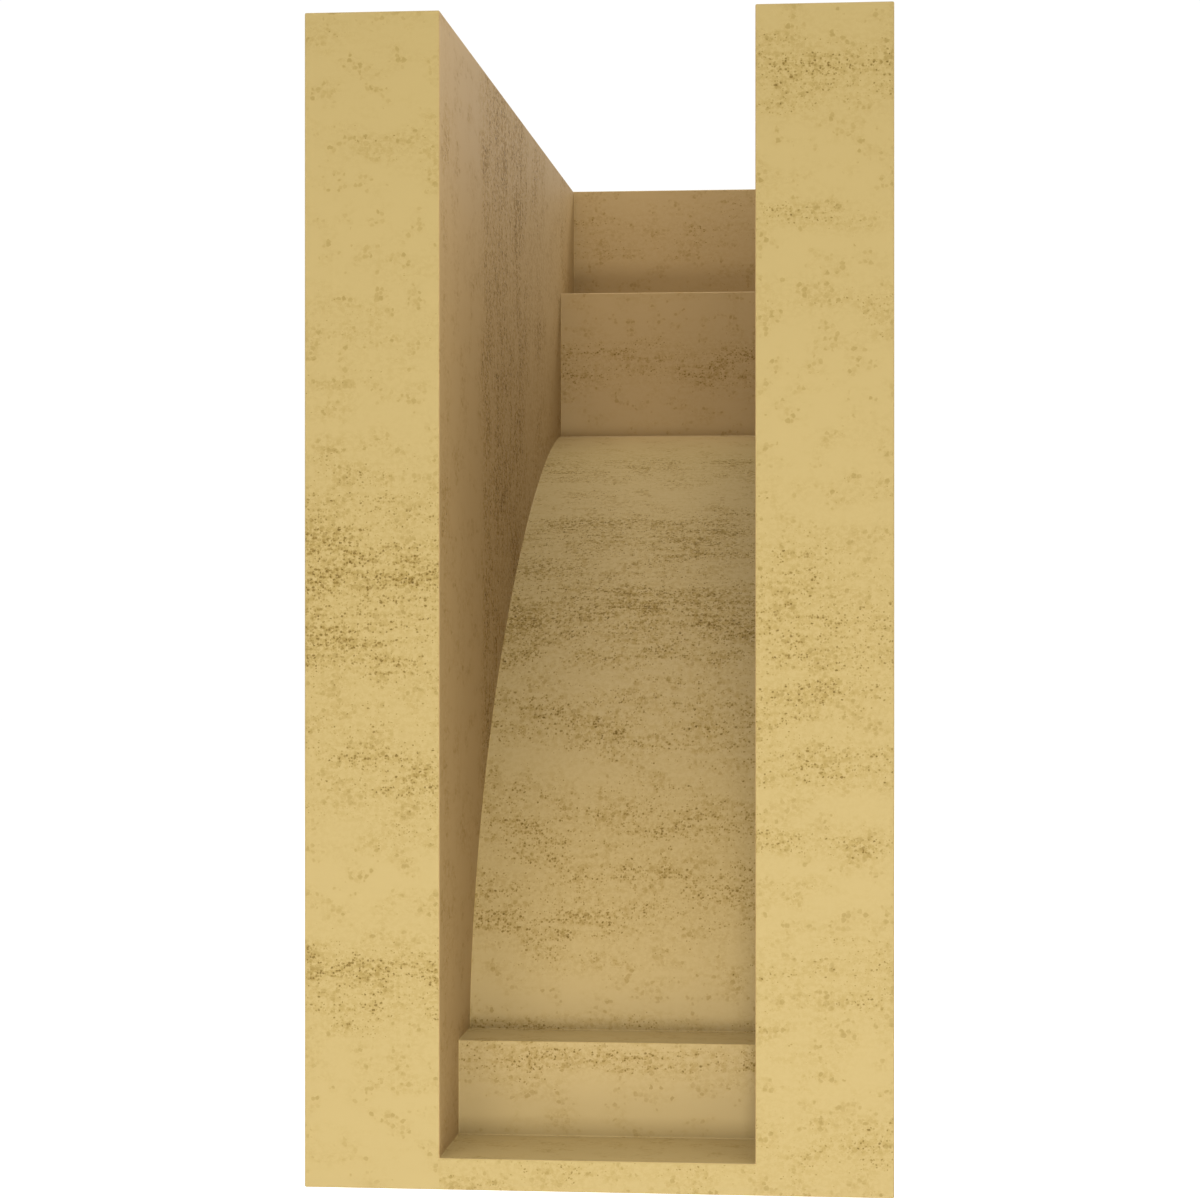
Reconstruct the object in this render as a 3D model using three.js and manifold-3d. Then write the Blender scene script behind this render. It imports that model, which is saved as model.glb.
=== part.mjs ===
// A hollow corbel moulded in one piece: two thick side walls joined by a thin front wall and a thin floor,
// open at the back, where it meets the wall of a building, and at the top, where it meets what it carries.
// From the top down, the front has a deep block, a second block set back from it, a long concave cove,
// and a small foot with a narrow ledge on it.
//
// Lengths are in millimetres and +Z is up. The corbel's front faces -Y and its back lies on the plane Y = 0,
// with the origin in the middle of the floor's back edge, where the corbel is fixed to the wall.

import * as THREE from "three";
import { mergeVertices } from "three/addons/utils/BufferGeometryUtils.js";
import Module from "manifold-3d";

const wasm = await Module();
wasm.setup();

// Overall sizes
const width = 152.4;
const height = 304.8;
const depth = 304.8;

// Walls
const sideWall = 35.4;
const frontWall = 8.2;
const floorThickness = 8.2;

// Front, from the top down
const topBlockHeight = 50.8;
const secondBlockSetback = 39.4;
const secondBlockHeight = 50.8;
const coveHeadReach = 54.4;
const coveFootReach = 95.2;
const ledgeDepth = 18.9;
const footDepth = 38.6;
const footHeight = 25.4;

// How finely the cove is drawn, and how far the cavity's cutter runs past the back and the top
const coveSteps = 64;
const cutterOverrun = 10;

// Heights and depths that follow from the sizes above
const topBlockUnderside = height - topBlockHeight;
const secondBlockUnderside = topBlockUnderside - secondBlockHeight;
const secondBlockDepth = depth - secondBlockSetback;
const coveFootDepth = footDepth + ledgeDepth;
const cavityWidth = width - 2 * sideWall;

const finish = {
  color: 0xcdb476,
  roughness: 0.8,
  metalness: 0,
};

// The cove's line on the corbel's side, as (distance from the wall, height): upright where it leaves the
// foot's ledge and level where it meets the second block.
const coveCurve = new THREE.CubicBezierCurve(
  new THREE.Vector2(coveFootDepth, footHeight),
  new THREE.Vector2(coveFootDepth, footHeight + coveFootReach),
  new THREE.Vector2(secondBlockDepth - coveHeadReach, secondBlockUnderside),
  new THREE.Vector2(secondBlockDepth, secondBlockUnderside),
);

// The point at a share of the way up the cove, moved square to the cove into the corbel by inset.
function covePoint(share, inset) {
  const tangent = coveCurve.getTangent(share);
  const inward = new THREE.Vector2(-tangent.y, tangent.x);
  return coveCurve.getPoint(share).addScaledVector(inward, inset);
}

// The share of the way up the cove at which a test of its moved point first holds, found by halving, or 1
// if it never does.
function coveShareWhere(test, inset) {
  const halvings = 40;
  let before = 0;
  let after = 1;
  for (let i = 0; i < halvings; i += 1) {
    const middle = (before + after) / 2;
    if (test(covePoint(middle, inset))) {
      after = middle;
    } else {
      before = middle;
    }
  }
  return after;
}

// The cove's line moved in by inset, from the ledge's level up to the second block's face.
function coveLine(inset, ledgeLevel, blockFace) {
  const start = coveShareWhere((point) => point.y > ledgeLevel, inset);
  const end = coveShareWhere((point) => point.x > blockFace, inset);
  const points = [];
  for (let i = 0; i <= coveSteps; i += 1) {
    points.push(covePoint(start + ((end - start) * i) / coveSteps, inset));
  }
  return points;
}

// The side outline of the corbel, or of its cavity where the front is moved in by a wall's thickness.
// It runs from the back edge along the floor, up the front, and back along the top.
function sideOutline({ inset, floorLevel, backEdge, topLevel }) {
  const ledgeLevel = footHeight + inset;
  const footFace = footDepth - inset;
  const secondBlockFace = secondBlockDepth - inset;
  const topBlockFace = depth - inset;
  const outline = new THREE.Shape();
  outline.moveTo(backEdge, floorLevel);
  outline.lineTo(footFace, floorLevel);
  outline.lineTo(footFace, ledgeLevel);
  for (const point of coveLine(inset, ledgeLevel, secondBlockFace)) {
    outline.lineTo(point.x, point.y);
  }
  outline.lineTo(secondBlockFace, topBlockUnderside + inset);
  outline.lineTo(topBlockFace, topBlockUnderside + inset);
  outline.lineTo(topBlockFace, topLevel);
  outline.lineTo(backEdge, topLevel);
  return outline;
}

// A side outline carried across the corbel, centred on its middle.
function acrossCorbel(outline, span) {
  const geometry = new THREE.ExtrudeGeometry(outline, { depth: span, bevelEnabled: false });
  return geometry.translate(0, 0, -span / 2);
}

// A closed geometry as a solid that can be cut.
function toSolid(geometry) {
  geometry.deleteAttribute("normal");
  geometry.deleteAttribute("uv");
  const merged = mergeVertices(geometry);
  const vertProperties = new Float32Array(merged.attributes.position.array);
  const triVerts = new Uint32Array(merged.index.array);
  return new wasm.Manifold(new wasm.Mesh({ numProp: 3, vertProperties, triVerts }));
}

// A cut solid as a geometry with flat faces.
function toGeometry(solid) {
  const mesh = solid.getMesh();
  const geometry = new THREE.BufferGeometry();
  geometry.setAttribute("position", new THREE.BufferAttribute(mesh.vertProperties, mesh.numProp));
  geometry.setIndex(new THREE.BufferAttribute(mesh.triVerts, 1));
  const flat = geometry.toNonIndexed();
  flat.computeVertexNormals();
  return flat;
}

// The whole corbel: its block with the cavity cut out from behind and from above.
function makeShell() {
  const block = sideOutline({ inset: 0, floorLevel: 0, backEdge: 0, topLevel: height });
  const cavity = sideOutline({
    inset: frontWall,
    floorLevel: floorThickness,
    backEdge: -cutterOverrun,
    topLevel: height + cutterOverrun,
  });
  const blockSolid = toSolid(acrossCorbel(block, width));
  const cavitySolid = toSolid(acrossCorbel(cavity, cavityWidth));
  const geometry = toGeometry(blockSolid.subtract(cavitySolid));
  const mesh = new THREE.Mesh(geometry, new THREE.MeshStandardMaterial(finish));
  mesh.name = "corbel_shell";
  return mesh;
}

// The outline's distance from the wall becomes -Y and its height becomes Z, and the origin rises to the
// middle of the floor's back edge.
const shell = makeShell();
shell.setRotationFromMatrix(new THREE.Matrix4().makeBasis(
  new THREE.Vector3(0, -1, 0),
  new THREE.Vector3(0, 0, 1),
  new THREE.Vector3(-1, 0, 0),
));
shell.position.z = -floorThickness / 2;

const corbel = new THREE.Group();
corbel.add(shell);

export default corbel;
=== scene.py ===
"""A hollow corbel moulded in one piece with a speckled tan finish, seen from behind, where a wall would be.

Lengths are in metres. The corbel's front faces -Y, its back lies on the plane Y = 0, and +Z is up.
"""

import math
from typing import NamedTuple

import bpy
import numpy as np
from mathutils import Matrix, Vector


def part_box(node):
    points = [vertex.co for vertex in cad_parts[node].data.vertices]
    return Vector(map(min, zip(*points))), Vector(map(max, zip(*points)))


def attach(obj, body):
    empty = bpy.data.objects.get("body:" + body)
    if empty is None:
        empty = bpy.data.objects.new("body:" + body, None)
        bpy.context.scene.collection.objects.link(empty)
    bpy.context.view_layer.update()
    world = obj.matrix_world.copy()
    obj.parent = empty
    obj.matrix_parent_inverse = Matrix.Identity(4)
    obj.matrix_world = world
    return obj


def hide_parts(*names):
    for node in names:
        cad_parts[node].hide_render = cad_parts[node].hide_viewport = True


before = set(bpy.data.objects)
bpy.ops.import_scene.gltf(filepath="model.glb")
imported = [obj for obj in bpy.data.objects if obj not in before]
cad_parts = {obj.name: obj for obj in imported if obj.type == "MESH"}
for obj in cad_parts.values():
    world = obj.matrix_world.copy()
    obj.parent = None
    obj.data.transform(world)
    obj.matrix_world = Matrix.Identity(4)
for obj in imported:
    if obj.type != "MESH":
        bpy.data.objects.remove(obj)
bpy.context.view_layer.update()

# Sizes of the corbel, in whole from the frame
SHELL_LOW, SHELL_HIGH = (np.array(corner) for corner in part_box("corbel_shell"))
WIDTH, DEPTH, HEIGHT = SHELL_HIGH - SHELL_LOW
UNDERSIDE = SHELL_LOW[2]
SIDE_WALL = 0.0354
FRONT_WALL = 0.0082
FLOOR_THICKNESS = 0.0082
TOP_BLOCK_HEIGHT = 0.0508
SECOND_BLOCK_SETBACK = 0.0394
SECOND_BLOCK_HEIGHT = 0.0508
COVE_HEAD_REACH = 0.0544
COVE_FOOT_REACH = 0.0952
LEDGE_DEPTH = 0.0189
FOOT_DEPTH = 0.0386
FOOT_HEIGHT = 0.0254
ARRIS_RADIUS = 0.0004
ARRIS_STEPS = 3
SHARP_ANGLE = math.radians(30)
COVE_STEPS = 96
COVE_SEARCH_STEPS = 1920

# Places that follow from those sizes, as distances from the wall and heights above the underside
TOP_BLOCK_UNDERSIDE = HEIGHT - TOP_BLOCK_HEIGHT
SECOND_BLOCK_UNDERSIDE = TOP_BLOCK_UNDERSIDE - SECOND_BLOCK_HEIGHT
SECOND_BLOCK_DEPTH = DEPTH - SECOND_BLOCK_SETBACK
COVE_FOOT_DEPTH = FOOT_DEPTH + LEDGE_DEPTH
HALF_WIDTH = WIDTH / 2
HALF_CAVITY = HALF_WIDTH - SIDE_WALL


class Band(NamedTuple):
    """A band where the finish is thick with specks: its middle, how far it spreads, and how thick it gets."""

    at: float
    spread: float
    strength: float


class Surface(NamedTuple):
    """A part of the finish: its start on the grain's second axis, its bands, and its stretch there."""

    start: float
    bands: tuple
    stretch: float = 1.0

    def across(self, place):
        """Where a place measured across the surface's grain is on the grain's second axis."""
        return self.start + np.asarray(place) / self.stretch


# Each surface's bands, measured up the back, along the front's outline, and from the wall on the others
BACK_RIGHT = Surface(0.0, (
    Band(0.155, 0.031, 0.85),
    Band(0.106, 0.014, 0.50),
    Band(0.053, 0.014, 0.75),
    Band(0.222, 0.009, 0.30),
    Band(0.297, 0.006, 0.10),
    Band(0.272, 0.006, 0.08),
))
BACK_LEFT = Surface(0.5, (
    Band(0.143, 0.028, 0.64),
    Band(0.110, 0.006, 0.45),
    Band(0.091, 0.005, 0.55),
    Band(0.055, 0.018, 0.36),
    Band(0.012, 0.012, 0.45),
    Band(0.251, 0.004, 0.36),
    Band(0.229, 0.006, 0.30),
    Band(0.288, 0.010, 0.66),
))
SIDE_BANDS = (
    Band(0.009, 0.006, 0.30),
    Band(0.078, 0.009, 0.55),
    Band(0.106, 0.020, 0.88),
    Band(0.146, 0.022, 0.88),
    Band(0.200, 0.030, 0.50),
    Band(0.262, 0.012, 0.60),
)
SIDES_INSIDE = Surface(1.0, SIDE_BANDS, 2.2)
SIDES_OUTSIDE = Surface(4.0, SIDE_BANDS)
FRONT_INSIDE = Surface(1.5, (
    Band(0.051, 0.005, 0.70),
    Band(0.076, 0.003, 0.55),
    Band(0.107, 0.014, 0.60),
    Band(0.133, 0.013, 0.65),
    Band(0.158, 0.009, 0.60),
    Band(0.190, 0.020, 0.98),
    Band(0.229, 0.019, 0.75),
    Band(0.275, 0.018, 0.60),
    Band(0.351, 0.009, 0.60),
    Band(0.441, 0.012, 0.35),
))
FRONT_OUTSIDE = Surface(2.5, (
    Band(0.050, 0.008, 0.60),
    Band(0.128, 0.018, 0.70),
    Band(0.195, 0.023, 1.1),
    Band(0.266, 0.018, 0.60),
    Band(0.337, 0.010, 0.50),
    Band(0.442, 0.012, 0.60),
))
TOP = Surface(3.5, (
    Band(0.060, 0.020, 0.60),
    Band(0.170, 0.030, 0.90),
    Band(0.270, 0.015, 0.50),
))
SURFACES = (BACK_RIGHT, BACK_LEFT, SIDES_INSIDE, SIDES_OUTSIDE, FRONT_INSIDE, FRONT_OUTSIDE, TOP)


def cove_line(inset, ledge_level, block_face):
    """Points of (distance from the wall, height) on the cove, moved square to it into the corbel by inset.

    The cove is a cubic Bezier curve, upright at the foot's ledge and level at the second block. A point at a
    share of the way along it is moved along the tangent turned a quarter turn. The line is kept from the
    height ledge_level to the distance block_face.
    """
    foot = np.array([COVE_FOOT_DEPTH, FOOT_HEIGHT])
    head = np.array([SECOND_BLOCK_DEPTH, SECOND_BLOCK_UNDERSIDE])
    above_foot = foot + [0, COVE_FOOT_REACH]
    behind_head = head - [COVE_HEAD_REACH, 0]

    def moved(share):
        t = share[:, None]
        point = (
            (1 - t) ** 3 * foot
            + 3 * (1 - t) ** 2 * t * above_foot
            + 3 * (1 - t) * t**2 * behind_head
            + t**3 * head
        )
        along = (
            (1 - t) ** 2 * (above_foot - foot)
            + 2 * (1 - t) * t * (behind_head - above_foot)
            + t**2 * (head - behind_head)
        )
        inward = np.stack([-along[:, 1], along[:, 0]], axis=1)
        return point + inset * inward / np.linalg.norm(inward, axis=1, keepdims=True)

    shares = np.linspace(0, 1, COVE_SEARCH_STEPS + 1)
    line = moved(shares)
    first = np.interp(ledge_level, line[:, 1], shares)
    last = np.interp(block_face, line[:, 0], shares)
    return moved(np.linspace(first, last, COVE_STEPS + 1))


def side_outline(inset, floor_level):
    """The outline of the side from the back edge along the floor, up the front and to the top front corner.

    With an inset it is the cavity's outline: the front moved in by the inset, and the floor raised.
    """
    ledge_level = FOOT_HEIGHT + inset
    foot_face = FOOT_DEPTH - inset
    second_block_face = SECOND_BLOCK_DEPTH - inset
    top_block_face = DEPTH - inset
    return np.vstack([
        [0, floor_level],
        [foot_face, floor_level],
        [foot_face, ledge_level],
        cove_line(inset, ledge_level, second_block_face),
        [second_block_face, TOP_BLOCK_UNDERSIDE + inset],
        [top_block_face, TOP_BLOCK_UNDERSIDE + inset],
        [top_block_face, HEIGHT],
    ])


def pattern_length(outline):
    """How far along the outline each point is, where a step counts as the larger of its depth and height.

    The specks then look round from behind or from above, as on a pattern laid on from those two sides.
    """
    return np.concatenate([[0], np.cumsum(np.abs(np.diff(outline, axis=0)).max(axis=1))])


class Patch(NamedTuple):
    """Faces with the same number of sides: their corners in space, and the same corners on the grain."""

    corners: np.ndarray
    grain: np.ndarray


def in_space(x, distance, height):
    """Points at x across the corbel, a distance from the wall and a height above the underside."""
    return np.stack(np.broadcast_arrays(x, -np.asarray(distance), UNDERSIDE + np.asarray(height)), axis=-1)


def across_strip(outline, x_from, x_to, surface, faces_cavity):
    """The outline carried straight across the corbel from x_from to x_to, one four-sided face a step.

    The grain runs across the corbel, and its second axis is the pattern's length along the outline.
    """
    length = surface.across(pattern_length(outline))
    near, far = np.arange(len(outline) - 1), np.arange(1, len(outline))
    turn = (near, far, far, near) if faces_cavity else (near, near, far, far)
    x = (x_from, x_from, x_to, x_to) if faces_cavity else (x_from, x_to, x_to, x_from)
    corners = [in_space(x[k], *outline[turn[k]].T) for k in range(4)]
    grain = [np.stack(np.broadcast_arrays(x[k], length[turn[k]]), axis=-1) for k in range(4)]
    return Patch(np.stack(corners, axis=1), np.stack(grain, axis=1))


def side_face(outline, x, surface, faces_right):
    """The flat side at x inside an outline closed by the top and the back. Its grain runs upright."""
    closed = np.vstack([outline, [0, HEIGHT]])
    if faces_right:
        closed = closed[::-1]
    grain = np.stack([closed[:, 1] + x, surface.across(closed[:, 0])], axis=-1)
    return Patch(in_space(x, *closed.T)[None], grain[None])


def flat_face(x, distance, height, place, surface):
    """One flat face with its corners in order. The grain runs along x, and place is measured across it."""
    grain = np.stack([x, surface.across(place)], axis=-1)
    return Patch(in_space(x, distance, height)[None], grain[None])


def back_faces():
    """The back: a strip behind each side wall and the floor's back edge between them."""
    for sign, surface in ((1, BACK_RIGHT), (-1, BACK_LEFT)):
        x = sign * np.array([HALF_WIDTH, HALF_CAVITY, HALF_CAVITY, HALF_CAVITY, HALF_WIDTH])
        height = np.array([0, 0, FLOOR_THICKNESS, HEIGHT, HEIGHT])
        turn = slice(None, None, sign)
        yield flat_face(x[turn], 0 * height, height[turn], height[turn], surface)
    x = HALF_CAVITY * np.array([1, -1, -1, 1])
    height = FLOOR_THICKNESS * np.array([0, 0, 1, 1])
    yield flat_face(x, 0 * height, height, height, BACK_LEFT)


def top_faces():
    """The top: a strip on each side wall and the top edge of the front wall between them."""
    front = DEPTH - FRONT_WALL
    for sign in (1, -1):
        x = sign * np.array([HALF_WIDTH, HALF_WIDTH, HALF_CAVITY, HALF_CAVITY, HALF_CAVITY])
        distance = np.array([DEPTH, 0, 0, front, DEPTH])
        turn = slice(None, None, sign)
        yield flat_face(x[turn], distance[turn], HEIGHT, distance[turn], TOP)
    x = HALF_CAVITY * np.array([-1, 1, 1, -1])
    distance = np.array([DEPTH, DEPTH, front, front])
    yield flat_face(x, distance, HEIGHT, distance, TOP)


def shell_patches():
    """Every face of the corbel, with no two overlapping and no gap between them."""
    outer = side_outline(0, 0)
    inner = side_outline(FRONT_WALL, FLOOR_THICKNESS)
    lines = (-HALF_WIDTH, -HALF_CAVITY, HALF_CAVITY, HALF_WIDTH)
    for x_from, x_to in zip(lines[:-1], lines[1:]):
        yield across_strip(outer, x_from, x_to, FRONT_OUTSIDE, faces_cavity=False)
    yield across_strip(inner, -HALF_CAVITY, HALF_CAVITY, FRONT_INSIDE, faces_cavity=True)
    yield side_face(outer, HALF_WIDTH, SIDES_OUTSIDE, faces_right=True)
    yield side_face(outer, -HALF_WIDTH, SIDES_OUTSIDE, faces_right=False)
    yield side_face(inner, HALF_CAVITY, SIDES_INSIDE, faces_right=False)
    yield side_face(inner, -HALF_CAVITY, SIDES_INSIDE, faces_right=True)
    yield from back_faces()
    yield from top_faces()


def mesh_from_patches(name, patches):
    """One mesh of all the patches, with corners at the same place joined, and a UV map called grain."""
    patches = list(patches)
    corners = np.concatenate([patch.corners.reshape(-1, 3) for patch in patches])
    grain = np.concatenate([patch.grain.reshape(-1, 2) for patch in patches])
    _, first, vertex = np.unique(np.round(corners, 7), axis=0, return_index=True, return_inverse=True)
    sides = np.concatenate([np.full(len(patch.corners), patch.corners.shape[1]) for patch in patches])
    faces = np.split(vertex.ravel(), np.cumsum(sides)[:-1])
    mesh = bpy.data.meshes.new(name)
    mesh.from_pydata(corners[first], [], [face.tolist() for face in faces])
    mesh.uv_layers.new(name="grain").uv.foreach_set("vector", grain.astype(np.float32).ravel())
    mesh.shade_smooth()
    mesh.validate()
    return mesh


def soften_arrises(piece):
    """Rounds every sharp edge of a piece a little, as a mould leaves them."""
    bevel = piece.modifiers.new("arris", "BEVEL")
    bevel.width = ARRIS_RADIUS
    bevel.segments = ARRIS_STEPS
    bevel.limit_method = "ANGLE"
    bevel.angle_limit = SHARP_ANGLE
    bevel.harden_normals = True


class Value:
    """A number that varies over a surface. Arithmetic on it adds the Math nodes that work it out."""

    def __init__(self, paint, socket):
        self.paint = paint
        self.socket = socket

    def math(self, operation, *others, backwards=False):
        """The result of one Math node on this value and others, with the first two swapped if backwards."""
        inputs = [self, *others]
        if backwards:
            inputs[:2] = inputs[1::-1]
        node = self.paint.node("ShaderNodeMath", {"operation": operation}, dict(enumerate(inputs)))
        return Value(self.paint, node.outputs[0])

    def __add__(self, other):
        return self.math("ADD", other)

    def __sub__(self, other):
        return self.math("SUBTRACT", other)

    def __rsub__(self, other):
        return self.math("SUBTRACT", other, backwards=True)

    def __mul__(self, other):
        return self.math("MULTIPLY", other)

    def __truediv__(self, other):
        return self.math("DIVIDE", other)

    __radd__ = __add__
    __rmul__ = __mul__

    def exp(self):
        """The number e to the power of this value."""
        return self.math("EXPONENT")

    def rise(self, low, high):
        """0 below low, 1 above high, and a smooth rise between them."""
        settings = {"interpolation_type": "SMOOTHSTEP"}
        inputs = {"Value": self, "From Min": low, "From Max": high}
        node = self.paint.node("ShaderNodeMapRange", settings, inputs)
        return Value(self.paint, node.outputs["Result"])

    def within(self, low, high, change):
        """0 up to low, 1 from there up to high, then 0 again, each changing smoothly over a width."""
        return self.rise(low, low + change) * (1 - self.rise(high, high + change))


class Noise(NamedTuple):
    """A smooth noise: its cells' size along and across the grain, its layer, its detail and its roughness."""

    cell_along: float
    cell_across: float
    layer: int
    detail: float = 2.0
    roughness: float = 0.5


# How far apart the noise layers are, in cells, so that no two are the same noise
LAYER_STEP = 1000.0

# The dots' radii and the width of their soft edges, in cells, then how far a cell's number is under the
# crowding when its dot is full grown, how grown a dot is when it is no longer faint, and its least depth
SMALLEST_RADIUS = 0.2
LARGEST_RADIUS = 0.7
SOFT_EDGE = 0.35
FULL_GROWTH = 0.6
FAINT_UP_TO = 0.3
LEAST_DEPTH = 0.25


class Paint:
    """A material and the nodes that make its finish."""

    def __init__(self, name):
        self.material = bpy.data.materials.new(name)
        self.material.use_nodes = True
        self.tree = self.material.node_tree
        self.shader = self.tree.nodes["Principled BSDF"]

    def node(self, kind, settings=(), inputs=()):
        """A new node with its settings, then the values or links of its sockets."""
        node = self.tree.nodes.new(kind)
        for name, setting in dict(settings).items():
            setattr(node, name, setting)
        for name, given in dict(inputs).items():
            self.feed(node.inputs[name], given)
        return node

    def feed(self, socket, given):
        """Links a value or a socket to a socket, or sets the socket to a plain number, colour or vector."""
        if isinstance(given, Value):
            given = given.socket
        if isinstance(given, bpy.types.NodeSocket):
            self.tree.links.new(given, socket)
        else:
            socket.default_value = given

    def grain(self):
        """The place on the piece's grain: along it, and across it."""
        place = self.node("ShaderNodeUVMap", {"uv_map": "grain"})
        parts = self.node("ShaderNodeSeparateXYZ", inputs={"Vector": place.outputs["UV"]})
        return Value(self, parts.outputs["X"]), Value(self, parts.outputs["Y"])

    def noise(self, along, across, noise):
        """The noise's value at a place on the grain, about 0.5."""
        cells_along = along / noise.cell_along + LAYER_STEP * noise.layer
        cells_across = across / noise.cell_across
        place = self.node("ShaderNodeCombineXYZ", inputs={"X": cells_along, "Y": cells_across})
        inputs = {
            "Vector": place.outputs[0],
            "Scale": 1.0,
            "Detail": noise.detail,
            "Roughness": noise.roughness,
        }
        node = self.node("ShaderNodeTexNoise", {"noise_dimensions": "2D"}, inputs)
        return Value(self, node.outputs["Fac"])

    def dots(self, along, across, cell, crowding):
        """Soft round dots, one at most in each cell of a random net, 0 outside them and up to 1 inside.

        Crowding from 0 to 1 is the share of cells that have a dot. A dot is bigger and darker the further its
        cell's first random number is under the crowding, and the second makes it darker or fainter still.
        """
        place = self.node("ShaderNodeCombineXYZ", inputs={"X": along / cell, "Y": across / cell})
        settings = {"voronoi_dimensions": "2D", "feature": "F1"}
        net = self.node("ShaderNodeTexVoronoi", settings, {"Vector": place.outputs[0], "Scale": 1.0})
        chances = self.node("ShaderNodeSeparateColor", inputs={"Color": net.outputs["Color"]})
        middle = Value(self, net.outputs["Distance"])
        chance = Value(self, chances.outputs["Red"])
        depth = Value(self, chances.outputs["Green"])
        growth = (crowding - chance).rise(0.0, FULL_GROWTH)
        radius = SMALLEST_RADIUS + (LARGEST_RADIUS - SMALLEST_RADIUS) * growth
        shape = (radius - middle).rise(0.0, SOFT_EDGE)
        return shape * growth.rise(0.0, FAINT_UP_TO) * (LEAST_DEPTH + (1 - LEAST_DEPTH) * depth * depth)

    def stained(self, tan_with_painted_light_and_shade, depth):
        """A tan, which in the cavity holds painted light and shade, under a stain: each channel times e to
        the power of -depth times its dulling.
        """
        tan_parts = self.node("ShaderNodeSeparateColor", inputs={"Color": tan_with_painted_light_and_shade})
        parts = self.node("ShaderNodeCombineColor")
        for socket, tan_part, dulling in zip(parts.inputs, tan_parts.outputs, STAIN_DULLING):
            self.feed(socket, Value(self, tan_part) * (depth * -dulling).exp())
        return parts.outputs["Color"]

    def mix(self, factor, first, second):
        """The first colour turning into the second as the factor rises."""
        node = self.node("ShaderNodeMix", {"data_type": "RGBA"}, {0: factor, 6: first, 7: second})
        return node.outputs[2]


def colour(red, green, blue):
    """A colour given as it is seen, in parts of 255, as the linear colour that Blender works with."""
    seen = np.array([red, green, blue]) / 255
    linear = np.where(seen <= 0.04045, seen / 12.92, ((seen + 0.055) / 1.055) ** 2.4)
    return (*linear.tolist(), 1.0)


# The tans: outside, the finish's own tan; on the cavity's floor, foot and cove, a lighter tan that is painted
# light; and on its side walls and its two blocks, a redder tan that is painted shade
OUTER_TAN = colour(146, 127, 79)
COVE_PAINTED_LIGHT_TAN = colour(154, 133, 86)
PAINTED_SHADE_TAN = colour(154, 128, 84)

# Where the cavity's painted shade and its cove's painted light lie on the grain's second axis, and how wide
# the change of tan is
PAINTED_SHADE_SPAN = (0.9, 2.2)
PAINTED_LIGHT_SPAN = (1.3, 1.78)
TAN_CHANGE = 0.06

SPECULAR_LEVEL = 0.2
ROUGHNESS = 0.58

# The power of 1/e by which a stain of depth 1 dulls red, green and blue
STAIN_DULLING = (0.82, 1.0, 1.7)

# What varies over the finish
STREAKS = Noise(0.020, 0.0020, layer=1)
CLOUDS = Noise(0.030, 0.012, layer=2, detail=3.0, roughness=0.6)
CLUMPS = Noise(0.009, 0.007, layer=5, roughness=0.6)
MOTTLE = Noise(0.0016, 0.0013, layer=4, detail=3.0, roughness=0.75)
PITTING = Noise(0.0016, 0.0016, layer=6)
WANDER_ALONG = Noise(0.0010, 0.0010, layer=3, detail=1.0)
WANDER_ACROSS = Noise(0.0010, 0.0010, layer=7, detail=1.0)

# How far the dots can wander off their places along the grain and across it
REACH_ALONG = 0.0008
REACH_ACROSS = 0.0007

# How much of the bands' specks is missing between clouds, and of all specks between streaks
CLOUD_GAP = 0.30
STREAK_GAP = 0.40

# How thick specks lie in the thickest clouds outside the bands, blots everywhere, and blots in clumps
CLOUD_CROWDING = 0.22
BLOT_CROWDING = 0.05
CLUMP_CROWDING = 0.70

# How thick each kind of mark lies for the same crowding of specks
FINE_SHARE = 0.92
COARSE_SHARE = 0.42
BLOT_SHARE = 0.40

# The cells of the three nets of dots, and how far the last two nets lie from the first
FINE_CELL = 0.00068
COARSE_CELL = 0.00086
BLOT_CELL = 0.0014
COARSE_NET_SHIFT = 0.3
BLOT_NET_SHIFT = 0.7

# How deep each kind of mark stains, and the film among the specks and in the clumps
FINE_DEPTH = 1.00
COARSE_DEPTH = 1.05
BLOT_DEPTH = 0.28
SPECK_FILM_DEPTH = 0.26
CLUMP_FILM_DEPTH = 0.06

PITTING_DEPTH = 0.00001
PITTING_STRENGTH = 0.5


def band_thickness(across):
    """How thick the specks are at a place across the grain: the sum of every band's bell curve."""
    total = 0.0
    for surface in SURFACES:
        for band in surface.bands:
            away = (across - float(surface.across(band.at))) / (band.spread / surface.stretch)
            total = total + band.strength * (away * away * -1).exp()
    return total


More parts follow.
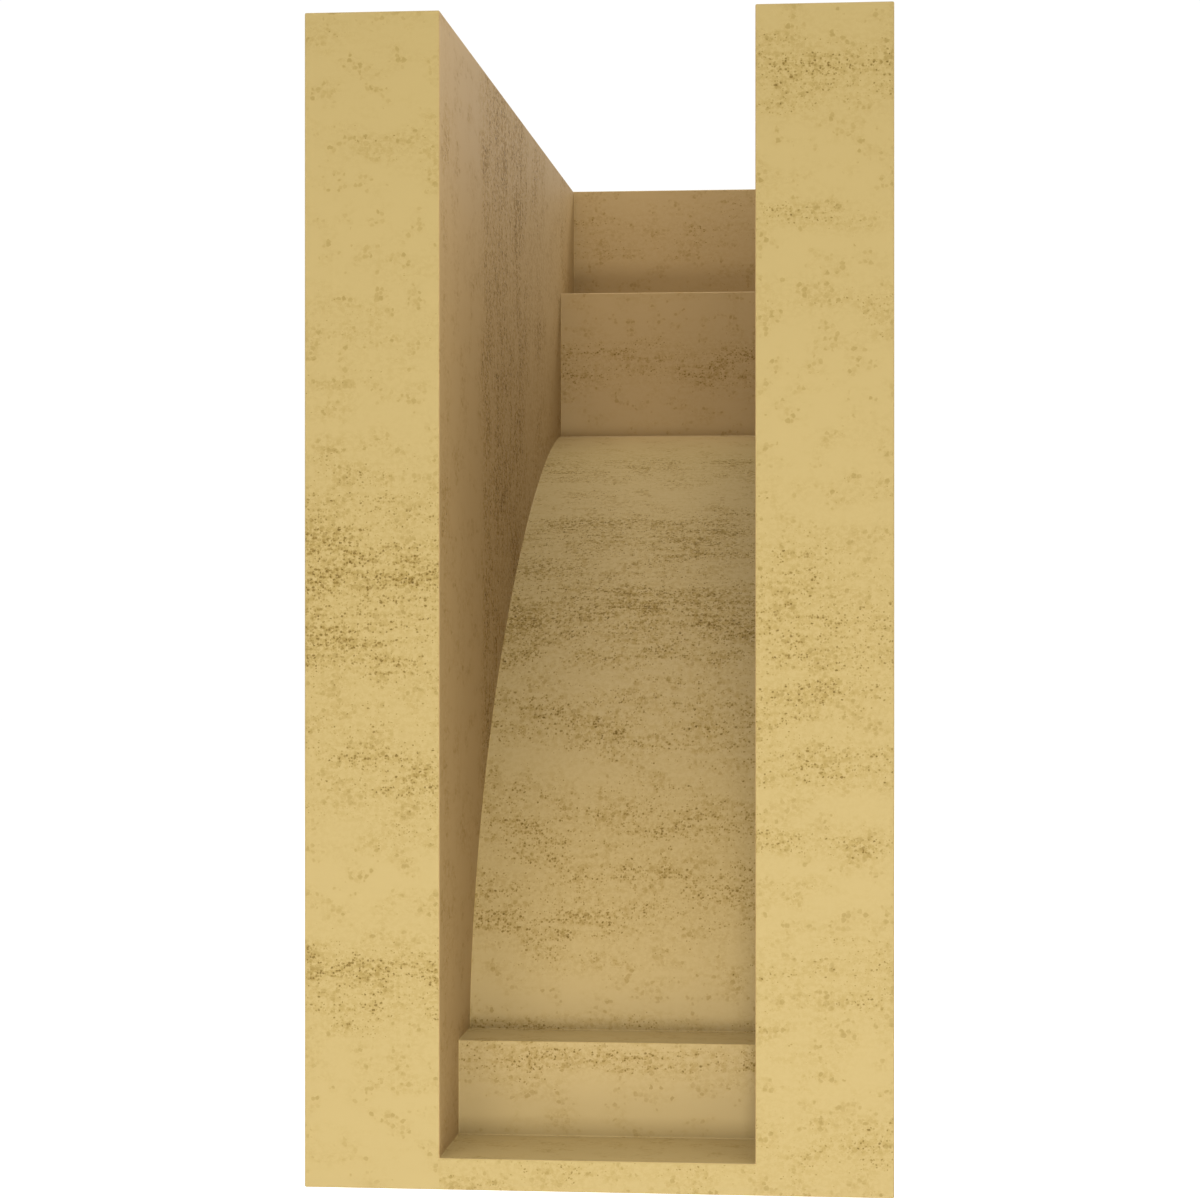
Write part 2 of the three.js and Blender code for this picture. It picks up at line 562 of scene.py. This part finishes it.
def speckled_tan_with_painted_light_and_shade():
    """The mould's tan finish: fine dark specks in streaks and bands along the grain, and faint blots.

    Crowding is how thick the specks lie: the bands and a few stray clouds, thinned between streaks. Specks
    and blots are dots on three nets, and a mottled film lies where they are thick. All make up one stain.
    Under the stain the cavity's tan is redder as painted shade, and its floor, foot and cove lighter as
    painted light.
    """
    paint = Paint("speckled_tan_with_painted_light_and_shade")
    along, across = paint.grain()

    streaks = paint.noise(along, across, STREAKS).rise(0.32, 0.55)
    clouds = paint.noise(along, across, CLOUDS)
    clumps = paint.noise(along, across, CLUMPS).rise(0.42, 0.68)
    bands = band_thickness(across) * (1 - CLOUD_GAP + CLOUD_GAP * clouds.rise(0.35, 0.6))
    stray = CLOUD_CROWDING * clouds.rise(0.48, 0.68)
    crowding = (bands + stray) * (1 - STREAK_GAP + STREAK_GAP * streaks)
    blot_crowding = BLOT_CROWDING + CLUMP_CROWDING * clumps + BLOT_SHARE * crowding

    along_wander = along + REACH_ALONG * paint.noise(along, across, WANDER_ALONG)
    across_wander = across + REACH_ACROSS * paint.noise(along, across, WANDER_ACROSS)
    fine = paint.dots(along_wander, across, FINE_CELL, FINE_SHARE * crowding)
    coarse = paint.dots(along_wander, across_wander + COARSE_NET_SHIFT, COARSE_CELL, COARSE_SHARE * crowding)
    blots = paint.dots(along_wander, across_wander + BLOT_NET_SHIFT, BLOT_CELL, blot_crowding)
    mottle = paint.noise(along, across, MOTTLE).rise(0.36, 0.64)
    film = mottle * (SPECK_FILM_DEPTH * crowding + CLUMP_FILM_DEPTH * clumps)
    stain = fine * FINE_DEPTH + coarse * COARSE_DEPTH + blots * BLOT_DEPTH + film

    # Painted shade and light: the cavity's faces take a redder tan for the shade in them, and its floor, foot
    # and cove a lighter tan for the light on them
    tan_with_painted_shade = paint.mix(across.within(*PAINTED_SHADE_SPAN, TAN_CHANGE), OUTER_TAN, PAINTED_SHADE_TAN)
    tan_with_painted_light_and_shade = paint.mix(across.within(*PAINTED_LIGHT_SPAN, TAN_CHANGE), tan_with_painted_shade, COVE_PAINTED_LIGHT_TAN)
    pitting = paint.noise(along, across, PITTING)
    bump_inputs = {"Height": pitting, "Distance": PITTING_DEPTH, "Strength": PITTING_STRENGTH}
    bump = paint.node("ShaderNodeBump", inputs=bump_inputs)
    paint.feed(paint.shader.inputs["Base Color"], paint.stained(tan_with_painted_light_and_shade, stain))
    paint.feed(paint.shader.inputs["Roughness"], ROUGHNESS + film)
    paint.feed(paint.shader.inputs["Normal"], bump.outputs["Normal"])
    paint.feed(paint.shader.inputs["Specular IOR Level"], SPECULAR_LEVEL)
    return paint.material


def make_shell():
    """The corbel itself, which stands for the CAD node of the same form."""
    mesh = mesh_from_patches("speckled_corbel_shell", shell_patches())
    piece = bpy.data.objects.new("speckled_corbel_shell", mesh)
    bpy.context.scene.collection.objects.link(piece)
    soften_arrises(piece)
    mesh.materials.append(speckled_tan_with_painted_light_and_shade())
    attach(piece, "root")
    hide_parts("corbel_shell")


# The camera of the photograph, worked out from the corbel's straight edges, with its turn in radians
CAMERA_PLACE = Vector((-0.07207, 0.66306, UNDERSIDE + 0.15149))
CAMERA_TURN = -0.0864
FOCAL_LENGTH_PIXELS = 2594.94
FRAME_PIXELS = 1200
OPTICAL_AXIS_PIXELS = (653.28, 603.51)
SENSOR_WIDTH = 36.0


def make_camera():
    """The camera behind the corbel, level, and turned a little from straight ahead."""
    data = bpy.data.cameras.new("camera")
    data.sensor_width = SENSOR_WIDTH
    data.lens = FOCAL_LENGTH_PIXELS / FRAME_PIXELS * SENSOR_WIDTH
    data.shift_x = 0.5 - OPTICAL_AXIS_PIXELS[0] / FRAME_PIXELS
    data.shift_y = OPTICAL_AXIS_PIXELS[1] / FRAME_PIXELS - 0.5
    camera = bpy.data.objects.new("camera", data)
    camera.location = CAMERA_PLACE
    ahead = Vector((-math.sin(CAMERA_TURN), -math.cos(CAMERA_TURN), 0))
    camera.rotation_euler = ahead.to_track_quat("-Z", "Y").to_euler()
    bpy.context.scene.collection.objects.link(camera)
    bpy.context.scene.camera = camera


FLOOR_DROP = 0.15
FLOOR_SIZE = 12.0
FLOOR_BRIGHTNESS = 0.98
FLOOR_ROUGHNESS = 0.9


def make_floor():
    """A plain pale floor under the corbel, which a wall would hold above it."""
    half = FLOOR_SIZE / 2
    level = UNDERSIDE - FLOOR_DROP
    corners = [(-half, -half, level), (half, -half, level), (half, half, level), (-half, half, level)]
    mesh = bpy.data.meshes.new("floor")
    mesh.from_pydata(corners, [], [(0, 1, 2, 3)])
    paint = Paint("pale_floor")
    paint.feed(paint.shader.inputs["Base Color"], (*[FLOOR_BRIGHTNESS] * 3, 1.0))
    paint.feed(paint.shader.inputs["Roughness"], FLOOR_ROUGHNESS)
    mesh.materials.append(paint.material)
    floor = bpy.data.objects.new("floor", mesh)
    bpy.context.scene.collection.objects.link(floor)


class Panel(NamedTuple):
    """A soft square light: its place, the place it faces, the length of its side, and its power in watts."""

    place: tuple
    target: tuple
    side: float
    power: float


MIDDLE = (0, -DEPTH / 2, HEIGHT / 2)
DOME_STRENGTH = 1.03
PANELS = {
    "key": Panel((-1.10, -1.25, 1.70), MIDDLE, 1.2, 31.0),
    "overhead": Panel((0.0, 0.23, 2.31), MIDDLE, 1.2, 33.0),
    "low_fill": Panel((-0.07, 0.58, -0.03), (0, 0, 0.05), 0.15, 2.5),
    "left_fill": Panel((0.25, 0.60, 0.05), (0, 0, 0.10), 0.2, 0.7),
}


def make_dome():
    """Even white light from all round."""
    world = bpy.data.worlds.new("studio")
    world.use_nodes = True
    background = world.node_tree.nodes["Background"]
    background.inputs["Color"].default_value = (1.0, 1.0, 1.0, 1.0)
    background.inputs["Strength"].default_value = DOME_STRENGTH
    bpy.context.scene.world = world


def make_panel(name, panel):
    """One soft square light, turned to what it faces."""
    data = bpy.data.lights.new(name, "AREA")
    data.size = panel.side
    data.energy = panel.power
    light = bpy.data.objects.new(name, data)
    light.location = panel.place
    light.rotation_euler = (Vector(panel.target) - Vector(panel.place)).to_track_quat("-Z", "Y").to_euler()
    bpy.context.scene.collection.objects.link(light)


def make_lights():
    """Soft studio light: a white dome, one light high in front, one overhead, and two low behind."""
    make_dome()
    for name, panel in PANELS.items():
        make_panel(name, panel)


bpy.context.scene.view_settings.view_transform = "Standard"
make_camera()
make_shell()
make_floor()
make_lights()
